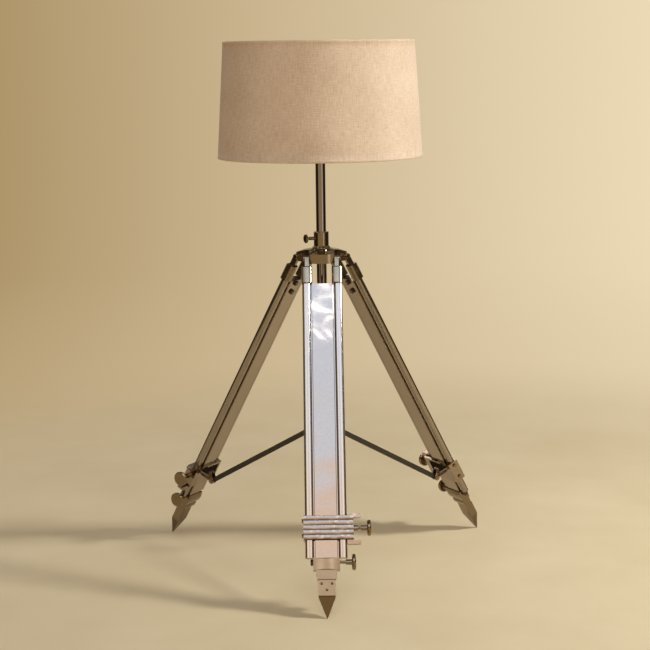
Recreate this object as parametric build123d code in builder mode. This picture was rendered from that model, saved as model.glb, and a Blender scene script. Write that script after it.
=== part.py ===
from build123d import *
import os
from math import atan2, cos, degrees, hypot, radians, sin, tan

os.makedirs("parts", exist_ok=True)

# Tripod floor lamp: a telescoping column with a drum shade, on three folding and telescoping
# legs tied by a spreader. Z is up, the origin is on the floor under the column, and the first
# leg points to -Y. Lengths are in millimetres, azimuths in degrees.

# Fits between pieces
running_clearance = 0.05
sliding_clearance = 0.3
socket_clearance = 0.1

# Stance of the tripod
leg_azimuths = (-90.0, 30.0, 150.0)
hinge_radius = 50.0
hinge_height = 780.0
foot_radius = 478.0

# Crown casting with one arm for each leg
arm_width = 63.0
arm_end_margin = 13.0
arm_fillet = 18.0
crown_drop = 13.0
crown_edge_height = 23.0
crown_rise = 10.0
crown_dome_swell = 1.6
crown_seat_margin = 2.0

# Hinge bolts
bolt_diameter = 8.0
bolt_head_diameter = 13.0
bolt_head_height = 5.0
bolt_head_crown = 1.6

# Column tube and its collar
tube_diameter = 25.0
tube_wall = 1.5
tube_length = 426.0
tube_head_height = 20.0
collar_diameter = 38.0
collar_height = 41.0
collar_foot_diameter = 46.0
collar_foot_edge = 1.5
collar_foot_height = 6.0
collar_lip_round = 1.0

# Column thumbscrew
column_screw_azimuth = 205.0
column_screw_rise = 25.0
column_screw_diameter = 8.5
column_screw_shank = 20.5
column_screw_neck_diameter = 5.5
column_screw_neck = 6.6
column_screw_disc_diameter = 22.0
column_screw_disc_thickness = 5.0
column_screw_rim = 1.2

# Cord bushing in the lower end of the tube
bushing_bore = 8.0
bushing_plug_length = 12.0
bushing_flange = 3.0

# Turned cap on the tube, with the threaded nipple for the lamp holder
cap_skirt_wall = 1.5
cap_skirt_length = 9.0
cap_plate = 4.0
nipple_diameter = 9.5
nipple_length = 10.0

# Harp and its saddle
saddle_span = 58.0
saddle_width = 12.0
saddle_sheet = 2.0
saddle_arm_height = 20.0
saddle_arm_sheet = 4.0
harp_wire = 3.6
harp_height = 196.0
harp_foot_straight = 16.0
harp_belly_width = 116.0
harp_shoulder_width = 100.0
harp_belly_share = 0.36
harp_foot_bend = 30.0
harp_side_bend = 60.0
harp_shoulder_bend = 32.0
stud_flange_diameter = 12.0
stud_flange_height = 5.0
stud_diameter = 6.35
stud_length = 16.0

# Lamp holder
holder_diameter = 37.0
holder_wall = 1.0
holder_cap_base_diameter = 16.0
holder_cap_height = 24.0
holder_cap_skirt = 6.0
holder_shell_height = 40.0
insulator_base = 12.0
insulator_drop = 4.0
insulator_wall_height = 24.0
screw_shell_bore = 26.4
screw_shell_wall = 0.8
screw_shell_height = 27.0
screw_shell_floor = 1.0

# Turn switch on the lamp holder
switch_azimuth = -90.0
switch_height = 20.0
switch_shaft_diameter = 4.0
switch_boss_diameter = 8.0
switch_boss_length = 6.0
switch_shaft_reach = 5.0
switch_key_width = 12.0
switch_key_height = 8.0
switch_key_length = 15.0
switch_key_round = 1.5

# Drum shade, its strip rings and its spider
shade_bottom_radius = 254.0
shade_top_radius = 236.0
shade_bottom = 1026.0
shade_height = 284.0
shade_wall = 2.0
ring_height = 5.0
ring_strip = 2.5
ring_inset = 1.0
spoke_count = 3
spoke_azimuth = 30.0
spoke_wire = 4.0
washer_diameter = 28.0
washer_thickness = 2.5

# Finial
finial_base_diameter = 13.0
finial_base_height = 5.0
finial_neck_diameter = 9.0
finial_bead_diameter = 18.0
finial_bead_height = 17.0
finial_bead_edge = 5.5
finial_tip_diameter = 8.0

# Leg rails, with a groove for the slide
rail_width = 20.5
rail_thickness = 17.0
rail_corner = 7.0
rail_crown_radius = 42.0
rail_wall = 1.5
groove_depth = 5.0
groove_width = 6.0

# Rail caps with the hinge tangs
cap_top = 25.0
cap_shoulder = 6.0
cap_length = 43.0
cap_outer_wall = 1.2
cap_inner_wall = 4.4
cap_front_wall = 5.0
cap_back_wall = 3.0
cap_corner = 8.0
cap_crown_radius = 40.0
cap_bevel = 3.5
tang_thickness = 10.0
tang_width = 14.0

# Slide between the rails
slide_width = 53.0
slide_front_depth = 6.5
slide_back_depth = 11.5
slide_gap = 2.0
slide_wall = 1.5
slide_corner = 1.5
slide_end_wall = 3.0
slide_head_gap = 1.5
tongue_relief = 1.0

# Clamp round the foot of the rails
clamp_height = 57.0
clamp_inset = 42.0
clamp_side = 3.5
clamp_cheek = 15.0
clamp_band = 3.0
clamp_back = 8.0
rib_count = 5
rib_height = 0.4
rib_groove = 1.3
rib_gap = 1.8
ear_length = 18.0
ear_thickness = 9.0
ear_depth = 15.0
ear_rise = 5.0
ear_drop = 10.0
ear_round = 3.5
clamp_boss_diameter = 13.0
clamp_boss_length = 10.0

# Wishbone bracket on the clamp, its ringed barrel and its fork
bracket_drop = 10.0
bracket_base = 88.0
bracket_tip = 22.0
bracket_thickness = 6.0
bracket_embed = 3.0
barrel_diameter = 11.0
barrel_clear = 10.0
barrel_ring_count = 3
barrel_ring_diameter = 13.5
barrel_ring = 2.5
barrel_ring_pitch = 5.0
fork_thickness = 5.0
fork_radius = 7.5
fork_length = 19.0
fork_clear = 15.0
pin_offset = 41.0
pin_drop = 34.0
pin_diameter = 6.0
pin_head_diameter = 10.0
pin_head_height = 2.5

# Clamp bolts and slide stop bolts, with hexagon heads
hexagon_sides = 6
clamp_bolt_radius = 5.0
clamp_bolt_head = 4.0
clamp_bolt_inset = 11.0
stop_bolt_radius = 7.0
stop_bolt_head = 5.0
stop_bolt_inset = 7.5
stop_bolt_pitch = 26.0

# Clamp screw
clamp_screw_diameter = 8.0
clamp_screw_neck_diameter = 6.0
clamp_screw_neck = 7.5
clamp_screw_boss_diameter = 12.5
clamp_screw_boss = 14.5

# Shoe at the foot of the slide
shoe_stop_gap = 0.5
shoe_collar_height = 28.0
shoe_collar_wall = 4.4
shoe_back_wall = 2.2
shoe_collar_depth = 18.0
shoe_collar_swell = 2.6
shoe_collar_crown_radius = 200.0
shoe_bevel = 1.8
shoe_taper_height = 22.0
shoe_taper_top_width = 51.0
shoe_taper_bottom_width = 45.0
shoe_taper_half_depth = 9.0
shoe_taper_swell = 4.5
shoe_block_height = 40.0
shoe_block_width = 40.0
shoe_block_front = 12.0
shoe_block_back = 9.0
shoe_block_wall = 3.0

# Spike
spike_length = 50.0
spike_tip = 1.2
spike_tang_length = 34.0

# Spike screws and the nut on the shoe
spike_screw_diameter = 3.0
spike_screw_head_diameter = 6.0
spike_screw_head = 1.8
spike_screw_bevel = 1.2
spike_screw_reach = 8.0
spike_screw_top_inset = 10.5
spike_screw_spread = 24.0
spike_screw_low_inset = 25.0
shoe_nut_radius = 8.0
shoe_nut_height = 6.0

# Shoe screw
shoe_screw_diameter = 7.0
shoe_screw_bare = 13.0
shoe_screw_boss_diameter = 12.5
shoe_screw_boss = 15.0

# Discs of the leg screws
knob_diameter = 37.5
knob_thickness = 9.0
knob_rim = 2.5

# Spreader struts and their hub
strut_width = 13.0
strut_thickness = 5.0
hub_pivot_radius = 50.0
hub_pivot_height = 325.0
hub_core_diameter = 40.0
hub_core_height = 18.0
hub_core_edge = 3.0
hub_tongue_width = 15.0
hub_tongue_thickness = 5.0
rivet_diameter = 9.0
rivet_height = 2.5

# Places that follow from the sizes
leg_count = len(leg_azimuths)
leg_splay = atan2(foot_radius - hinge_radius, hinge_height)
leg_reach = hypot(foot_radius - hinge_radius, hinge_height)
tube_radius = tube_diameter / 2
bolt_radius = bolt_diameter / 2
arm_end_radius = hinge_radius + arm_end_margin
crown_bottom = hinge_height - crown_drop
crown_edge = crown_bottom + crown_edge_height
crown_top = crown_edge + crown_rise
crown_seat_radius = collar_foot_diameter / 2 + crown_seat_margin
collar_top = crown_top + collar_height
tube_top = shade_bottom + tube_head_height
tube_bottom = tube_top - tube_length
rail_inner = slide_width / 2 + slide_gap
rail_outer = rail_inner + rail_width
rail_centre = rail_inner + rail_width / 2
rail_face = rail_thickness / 2
rail_top = cap_top + cap_shoulder
slide_thickness = slide_front_depth + slide_back_depth
slide_middle = (slide_front_depth - slide_back_depth) / 2
shoe_block_end = leg_reach - spike_length
shoe_block_top = shoe_block_end - shoe_block_height
shoe_taper_top = shoe_block_top - shoe_taper_height
shoe_top = shoe_taper_top - shoe_collar_height
rail_end = shoe_top - shoe_stop_gap
slide_top = cap_top + cap_length + slide_head_gap
slide_bottom = shoe_top + shoe_collar_depth
clamp_bottom = rail_end - clamp_inset
clamp_top = clamp_bottom - clamp_height
clamp_back_face = rail_face + clamp_back
clamp_middle = (clamp_top + clamp_bottom) / 2
pin_station = clamp_top + pin_drop
bracket_station = clamp_top + bracket_drop
tang_inner = arm_width / 2 + sliding_clearance
tang_outer = tang_inner + tang_thickness
fork_inner = strut_thickness / 2 + sliding_clearance
fork_outer = fork_inner + fork_thickness

# Crown casting: a three-armed star under a shallow dome, bored for the column and cross-drilled
# for the hinge bolts
with BuildPart() as crown_casting:
    with BuildSketch(Plane.XY.offset(crown_bottom)) as crown_plan:
        with PolarLocations(arm_end_radius / 2, leg_count, start_angle=leg_azimuths[0]):
            Rectangle(arm_end_radius, arm_width)
        fillet(crown_plan.vertices().group_by(SortBy.DISTANCE)[0], arm_fillet)
    extrude(amount=crown_top - crown_bottom)
    with BuildSketch(Plane.XZ):
        with BuildLine():
            Polyline(
                (0, crown_top),
                (crown_seat_radius, crown_top),
                (
                    (crown_seat_radius + arm_end_radius) / 2,
                    (crown_top + crown_edge) / 2 + crown_dome_swell,
                ),
                (arm_end_radius, crown_edge),
                (arm_end_radius, crown_bottom),
                (0, crown_bottom),
                close=True,
            )
        make_face()
    revolve(axis=Axis.Z, mode=Mode.INTERSECT)
    with BuildSketch(Plane.XY.offset(crown_bottom)):
        Circle(tube_radius + sliding_clearance)
    extrude(amount=crown_top - crown_bottom, mode=Mode.SUBTRACT)
    for azimuth in leg_azimuths:
        outward = Vector(cos(radians(azimuth)), sin(radians(azimuth)), 0)
        hinge = outward * hinge_radius + Vector(0, 0, hinge_height)
        with BuildSketch(Plane(origin=hinge, x_dir=outward, z_dir=Vector(0, 0, 1).cross(outward))):
            Circle(bolt_radius + running_clearance)
        extrude(amount=arm_width, both=True, mode=Mode.SUBTRACT)
crown_casting.part.label = "crown_casting"
export_step(crown_casting.part, "parts/crown_casting.step")

# Hinge bolts: one through each arm and the two tangs beside it, with a domed head at each end
with BuildPart() as hinge_bolts:
    for azimuth in leg_azimuths:
        outward = Vector(cos(radians(azimuth)), sin(radians(azimuth)), 0)
        across = Vector(0, 0, 1).cross(outward)
        hinge = outward * hinge_radius + Vector(0, 0, hinge_height)
        bolt_seat = tang_outer + sliding_clearance
        bolt_end = bolt_seat + bolt_head_height
        head_radius = bolt_head_diameter / 2
        with BuildSketch(Plane(origin=hinge, x_dir=across, z_dir=outward)):
            with BuildLine():
                Polyline(
                    (-bolt_end, 0),
                    (-bolt_end, head_radius - bolt_head_crown),
                    (-bolt_end + bolt_head_crown, head_radius),
                    (-bolt_seat, head_radius),
                    (-bolt_seat, bolt_radius),
                    (bolt_seat, bolt_radius),
                    (bolt_seat, head_radius),
                    (bolt_end - bolt_head_crown, head_radius),
                    (bolt_end, head_radius - bolt_head_crown),
                    (bolt_end, 0),
                    close=True,
                )
            make_face()
        revolve(axis=Axis(hinge, across))
hinge_bolts.part.label = "hinge_bolts"
export_step(hinge_bolts.part, "parts/hinge_bolts.step")

# Column collar: a sleeve on the crown with a flared foot, tapped for the column thumbscrew
screw_direction = Vector(cos(radians(column_screw_azimuth)), sin(radians(column_screw_azimuth)), 0)
screw_origin = Vector(0, 0, crown_top + column_screw_rise)
with BuildPart() as column_collar:
    collar_bore = tube_radius + running_clearance
    with BuildSketch(Plane.XZ):
        with BuildLine():
            Polyline(
                (collar_bore, crown_top),
                (collar_foot_diameter / 2, crown_top),
                (collar_foot_diameter / 2, crown_top + collar_foot_edge),
                (collar_diameter / 2, crown_top + collar_foot_height),
                (collar_diameter / 2, collar_top - collar_lip_round),
                (collar_diameter / 2 - collar_lip_round, collar_top),
                (collar_bore, collar_top),
                close=True,
            )
        make_face()
    revolve(axis=Axis.Z)
    with BuildSketch(Plane(origin=screw_origin, z_dir=screw_direction)):
        Circle(column_screw_diameter / 2 + running_clearance)
    extrude(amount=collar_diameter, mode=Mode.SUBTRACT)
column_collar.part.label = "column_collar"
export_step(column_collar.part, "parts/column_collar.step")

# Column thumbscrew: a turned shank, a neck and a round disc
with BuildPart() as column_thumbscrew:
    screw_tip = tube_radius + sliding_clearance
    shank_end = screw_tip + column_screw_shank
    disc_start = shank_end + column_screw_neck
    disc_end = disc_start + column_screw_disc_thickness
    disc_radius = column_screw_disc_diameter / 2
    screw_plane = Plane(
        origin=screw_origin, x_dir=screw_direction, z_dir=screw_direction.cross(Vector(0, 0, 1))
    )
    with BuildSketch(screw_plane):
        with BuildLine():
            Polyline(
                (screw_tip, 0),
                (screw_tip, column_screw_diameter / 2),
                (shank_end, column_screw_diameter / 2),
                (shank_end, column_screw_neck_diameter / 2),
                (disc_start, column_screw_neck_diameter / 2),
                (disc_start, disc_radius - column_screw_rim),
                (disc_start + column_screw_rim, disc_radius),
                (disc_end - column_screw_rim, disc_radius),
                (disc_end, disc_radius - column_screw_rim),
                (disc_end, 0),
                close=True,
            )
        make_face()
    revolve(axis=Axis(screw_origin, screw_direction))
column_thumbscrew.part.label = "column_thumbscrew"
export_step(column_thumbscrew.part, "parts/column_thumbscrew.step")

# Column tube
with BuildPart() as column_tube:
    with BuildSketch(Plane.XY.offset(tube_bottom)):
        Circle(tube_radius)
        Circle(tube_radius - tube_wall, mode=Mode.SUBTRACT)
    extrude(amount=tube_length)
column_tube.part.label = "column_tube"
export_step(column_tube.part, "parts/column_tube.step")

# Cord bushing: a flanged plug in the foot of the tube, bored for the cord
with BuildPart() as cord_bushing:
    with BuildSketch(Plane.XY.offset(tube_bottom - bushing_flange)):
        Circle(tube_radius)
    extrude(amount=bushing_flange)
    with BuildSketch(Plane.XY.offset(tube_bottom)):
        Circle(tube_radius - tube_wall - socket_clearance)
    extrude(amount=bushing_plug_length)
    with BuildSketch(Plane.XY.offset(tube_bottom - bushing_flange)):
        Circle(bushing_bore / 2)
    extrude(amount=bushing_flange + bushing_plug_length, mode=Mode.SUBTRACT)
cord_bushing.part.label = "cord_bushing"
export_step(cord_bushing.part, "parts/cord_bushing.step")

# Tube cap: a turned cap over the head of the tube, with the nipple on top
cap_outer = tube_radius + socket_clearance + cap_skirt_wall
saddle_bottom = tube_top + cap_plate
with BuildPart() as tube_cap:
    with BuildSketch(Plane.XZ):
        with BuildLine():
            Polyline(
                (0, tube_top),
                (tube_radius + socket_clearance, tube_top),
                (tube_radius + socket_clearance, tube_top - cap_skirt_length),
                (cap_outer, tube_top - cap_skirt_length),
                (cap_outer, tube_top),
                (cap_outer - cap_skirt_wall, saddle_bottom),
                (nipple_diameter / 2, saddle_bottom),
                (nipple_diameter / 2, saddle_bottom + nipple_length),
                (0, saddle_bottom + nipple_length),
                close=True,
            )
        make_face()
    revolve(axis=Axis.Z)
    with BuildSketch(Plane.XY.offset(tube_top)):
        Circle(bushing_bore / 2 - cap_skirt_wall)
    extrude(amount=cap_plate + nipple_length, mode=Mode.SUBTRACT)
tube_cap.part.label = "tube_cap"
export_step(tube_cap.part, "parts/tube_cap.step")

# Harp saddle: a strap over the nipple with an upright arm at each end
saddle_top = saddle_bottom + saddle_sheet
arm_top = saddle_bottom + saddle_arm_height
with BuildPart() as harp_saddle:
    with BuildSketch(Plane.XY.offset(saddle_bottom)):
        Rectangle(saddle_span + saddle_arm_sheet, saddle_width)
        Circle(nipple_diameter / 2 + socket_clearance, mode=Mode.SUBTRACT)
    extrude(amount=saddle_sheet)
    with BuildSketch(Plane.XY.offset(saddle_bottom)):
        with Locations((-saddle_span / 2, 0), (saddle_span / 2, 0)):
            Rectangle(saddle_arm_sheet, saddle_width)
    extrude(amount=saddle_arm_height)
harp_saddle.part.label = "harp_saddle"
export_step(harp_saddle.part, "parts/harp_saddle.step")

# Harp: a wire loop that stands on the saddle arms, with a flanged stud on its crown
harp_top = arm_top + harp_height
with BuildPart() as harp:
    with BuildLine(Plane.XZ) as harp_path:
        FilletPolyline(
            (-saddle_span / 2, arm_top),
            (-saddle_span / 2, arm_top + harp_foot_straight),
            (-harp_belly_width / 2, arm_top + harp_height * harp_belly_share),
            (-harp_shoulder_width / 2, harp_top),
            (harp_shoulder_width / 2, harp_top),
            (harp_belly_width / 2, arm_top + harp_height * harp_belly_share),
            (saddle_span / 2, arm_top + harp_foot_straight),
            (saddle_span / 2, arm_top),
            radius=(
                harp_foot_bend,
                harp_side_bend,
                harp_shoulder_bend,
                harp_shoulder_bend,
                harp_side_bend,
                harp_foot_bend,
            ),
        )
    with BuildSketch(Plane(origin=(-saddle_span / 2, 0, arm_top), z_dir=(0, 0, 1))):
        Circle(harp_wire / 2)
    sweep(path=harp_path.line)
    with BuildSketch(Plane.XY.offset(harp_top)):
        Circle(stud_flange_diameter / 2)
    extrude(amount=stud_flange_height)
    with BuildSketch(Plane.XY.offset(harp_top + stud_flange_height)):
        Circle(stud_diameter / 2)
    extrude(amount=stud_length)
harp.part.label = "harp"
export_step(harp.part, "parts/harp.step")

# Lamp holder cap: a spun cup on the saddle
holder_radius = holder_diameter / 2
holder_cap_top = saddle_top + holder_cap_height
with BuildPart() as socket_cap:
    with BuildSketch(Plane.XZ):
        with BuildLine():
            Polyline(
                (nipple_diameter / 2 + socket_clearance, saddle_top),
                (holder_cap_base_diameter / 2, saddle_top),
                (holder_radius, holder_cap_top - holder_cap_skirt),
                (holder_radius, holder_cap_top),
                (holder_radius - holder_wall, holder_cap_top),
                (holder_radius - holder_wall, holder_cap_top - holder_cap_skirt),
                (holder_cap_base_diameter / 2 - holder_wall, saddle_top + holder_wall),
                (nipple_diameter / 2 + socket_clearance, saddle_top + holder_wall),
                close=True,
            )
        make_face()
    revolve(axis=Axis.Z)
socket_cap.part.label = "socket_cap"
export_step(socket_cap.part, "parts/socket_cap.step")

# Lamp holder shell: a tube on the cap, with a side boss for the turn switch
switch_direction = Vector(cos(radians(switch_azimuth)), sin(radians(switch_azimuth)), 0)
switch_origin = Vector(0, 0, holder_cap_top + switch_height)
boss_end = holder_radius + switch_boss_length
with BuildPart() as socket_shell:
    with BuildSketch(Plane(origin=switch_origin, z_dir=switch_direction)):
        Circle(switch_boss_diameter / 2)
    extrude(amount=boss_end)
    with BuildSketch(Plane.XY.offset(holder_cap_top)):
        Circle(holder_radius)
    extrude(amount=holder_shell_height)
    with BuildSketch(Plane.XY.offset(holder_cap_top)):
        Circle(holder_radius - holder_wall)
    extrude(amount=holder_shell_height, mode=Mode.SUBTRACT)
    with BuildSketch(Plane(origin=switch_origin, z_dir=switch_direction)):
        Circle(switch_shaft_diameter / 2 + running_clearance)
    extrude(amount=boss_end, mode=Mode.SUBTRACT)
socket_shell.part.label = "socket_shell"
export_step(socket_shell.part, "parts/socket_shell.step")

# Insulator: a cup inside the holder that carries the screw shell
insulator_bottom = holder_cap_top - insulator_drop
insulator_floor = insulator_bottom + insulator_base
screw_shell_outer = screw_shell_bore / 2 + screw_shell_wall
with BuildPart() as socket_insulator:
    with BuildSketch(Plane.XY.offset(insulator_bottom)):
        Circle(holder_radius - holder_wall - socket_clearance)
    extrude(amount=insulator_base + insulator_wall_height)
    with BuildSketch(Plane.XY.offset(insulator_floor)):
        Circle(screw_shell_outer + socket_clearance)
    extrude(amount=insulator_wall_height, mode=Mode.SUBTRACT)
socket_insulator.part.label = "socket_insulator"
export_step(socket_insulator.part, "parts/socket_insulator.step")

# Screw shell: the cup that takes the lamp's screw base
screw_shell_top = insulator_floor + screw_shell_height
with BuildPart() as screw_shell:
    with BuildSketch(Plane.XY.offset(insulator_floor)):
        Circle(screw_shell_outer)
    extrude(amount=screw_shell_height)
    with BuildSketch(Plane.XY.offset(insulator_floor + screw_shell_floor)):
        Circle(screw_shell_bore / 2)
    extrude(amount=screw_shell_height - screw_shell_floor, mode=Mode.SUBTRACT)
screw_shell.part.label = "screw_shell"
export_step(screw_shell.part, "parts/screw_shell.step")

# Switch key: a shaft in the boss with a flat paddle to turn
with BuildPart() as switch_key:
    shaft_start = holder_radius - holder_wall + sliding_clearance
    key_start = boss_end + sliding_clearance
    key_plane = Plane(origin=switch_origin, z_dir=switch_direction)
    with BuildSketch(key_plane.offset(shaft_start)):
        Circle(switch_shaft_diameter / 2)
    extrude(amount=key_start + switch_shaft_reach - shaft_start)
    with BuildSketch(key_plane.offset(key_start)):
        RectangleRounded(switch_key_height, switch_key_width, switch_key_round)
    extrude(amount=switch_key_length)
switch_key.part.label = "switch_key"
export_step(switch_key.part, "parts/switch_key.step")

# Drum shade: a thin tapered wall, open at both ends
shade_top = shade_bottom + shade_height
with BuildPart() as lamp_shade:
    with BuildSketch(Plane.XZ):
        with BuildLine():
            Polyline(
                (shade_bottom_radius, shade_bottom),
                (shade_top_radius, shade_top),
                (shade_top_radius - shade_wall, shade_top),
                (shade_bottom_radius - shade_wall, shade_bottom),
                close=True,
            )
        make_face()
    revolve(axis=Axis.Z)
lamp_shade.part.label = "lamp_shade"
export_step(lamp_shade.part, "parts/lamp_shade.step")

# Shade bottom ring: a strip ring just inside the hem
shade_slope = (shade_bottom_radius - shade_top_radius) / shade_height
bottom_ring_base = shade_bottom + ring_inset
bottom_ring_top = bottom_ring_base + ring_height
bottom_ring_outer = (
    shade_bottom_radius
    - shade_wall
    - socket_clearance
    - max(shade_slope * ring_inset, shade_slope * (ring_inset + ring_height))
)
with BuildPart() as shade_bottom_ring:
    with BuildSketch(Plane.XY.offset(bottom_ring_base)):
        Circle(bottom_ring_outer)
        Circle(bottom_ring_outer - ring_strip, mode=Mode.SUBTRACT)
    extrude(amount=ring_height)
shade_bottom_ring.part.label = "shade_bottom_ring"
export_step(shade_bottom_ring.part, "parts/shade_bottom_ring.step")

# Shade spider: a strip ring in the top hem, with spokes that drop to a washer on the harp stud
top_ring_top = shade_top - ring_inset
top_ring_outer = (
    shade_top_radius
    - shade_wall
    - socket_clearance
    + min(shade_slope * ring_inset, shade_slope * (ring_inset + ring_height))
)
washer_base = harp_top + stud_flange_height + running_clearance
washer_middle = washer_base + washer_thickness / 2
spoke_end = Vector(top_ring_outer - ring_strip / 2, 0, top_ring_top - ring_height / 2)
spoke_root = Vector(stud_diameter / 2 + washer_thickness, 0, washer_middle)
with BuildPart() as shade_spider:
    with BuildSketch(Plane.XY.offset(top_ring_top - ring_height)):
        Circle(top_ring_outer)
        Circle(top_ring_outer - ring_strip, mode=Mode.SUBTRACT)
    extrude(amount=ring_height)
    with BuildSketch(Plane.XY.offset(washer_base)):
        Circle(washer_diameter / 2)
    extrude(amount=washer_thickness)
    for spoke in range(spoke_count):
        turn = spoke_azimuth + spoke * degrees(radians(360.0) / spoke_count)
        root = spoke_root.rotate(Axis.Z, turn)
        run = spoke_end.rotate(Axis.Z, turn) - root
        with BuildSketch(Plane(origin=root, z_dir=run)):
            Circle(spoke_wire / 2)
        extrude(amount=run.length)
    with BuildSketch(Plane.XY.offset(washer_base - spoke_wire)):
        Circle(stud_diameter / 2 + running_clearance)
    extrude(amount=washer_thickness + 2 * spoke_wire, mode=Mode.SUBTRACT)
    with BuildSketch(Plane.XY.offset(washer_base - spoke_wire)):
        Circle(washer_diameter / 2)
    extrude(amount=spoke_wire, mode=Mode.SUBTRACT)
    with BuildSketch(Plane.XY.offset(washer_base + washer_thickness)):
        Circle(washer_diameter / 2)
    extrude(amount=spoke_wire, mode=Mode.SUBTRACT)
shade_spider.part.label = "shade_spider"
export_step(shade_spider.part, "parts/shade_spider.step")

# Finial: a turned nut with a bead top, screwed on the stud over the washer
finial_base = washer_base + washer_thickness + running_clearance
bead_base = finial_base + finial_base_height
bead_top = bead_base + finial_bead_height
with BuildPart() as finial:
    with BuildSketch(Plane.XZ):
        with BuildLine():
            Polyline(
                (0, finial_base),
                (finial_base_diameter / 2, finial_base),
                (finial_neck_diameter / 2, bead_base),
                (finial_bead_diameter / 2, bead_base + finial_bead_edge),
                (finial_bead_diameter / 2, bead_top - finial_bead_edge),
                (finial_tip_diameter / 2, bead_top),
                (0, bead_top),
                close=True,
            )
        make_face()
    revolve(axis=Axis.Z)
    with BuildSketch(Plane.XY.offset(finial_base)):
        Circle(stud_diameter / 2 + socket_clearance)
    extrude(amount=stud_length, mode=Mode.SUBTRACT)
finial.part.label = "finial"
export_step(finial.part, "parts/finial.step")

# Spreader hub: a turned core with one tongue for each strut, each tongue beside its strut
with BuildPart() as spreader_hub:
    with BuildSketch(Plane.XY.offset(hub_pivot_height - hub_core_height / 2)):
        Circle(hub_core_diameter / 2)
    extrude(amount=hub_core_height)
    chamfer(spreader_hub.edges(), hub_core_edge)
    for azimuth in leg_azimuths:
        outward = Vector(cos(radians(azimuth)), sin(radians(azimuth)), 0)
        across = Vector(0, 0, 1).cross(outward)
        pivot = Vector(0, 0, hub_pivot_height)
        tongue_plane = Plane(origin=pivot, x_dir=outward, z_dir=-across)
        with BuildSketch(tongue_plane.offset(-fork_inner)):
            with Locations((hub_pivot_radius / 2, 0)):
                SlotCenterToCenter(hub_pivot_radius, hub_tongue_width)
        extrude(amount=-hub_tongue_thickness)
        with BuildSketch(tongue_plane.offset(-fork_inner - hub_tongue_thickness)):
            with Locations((hub_pivot_radius, 0)):
                Circle(rivet_diameter / 2)
        extrude(amount=-rivet_height)
spreader_hub.part.label = "spreader_hub"
export_step(spreader_hub.part, "parts/spreader_hub.step")

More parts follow.
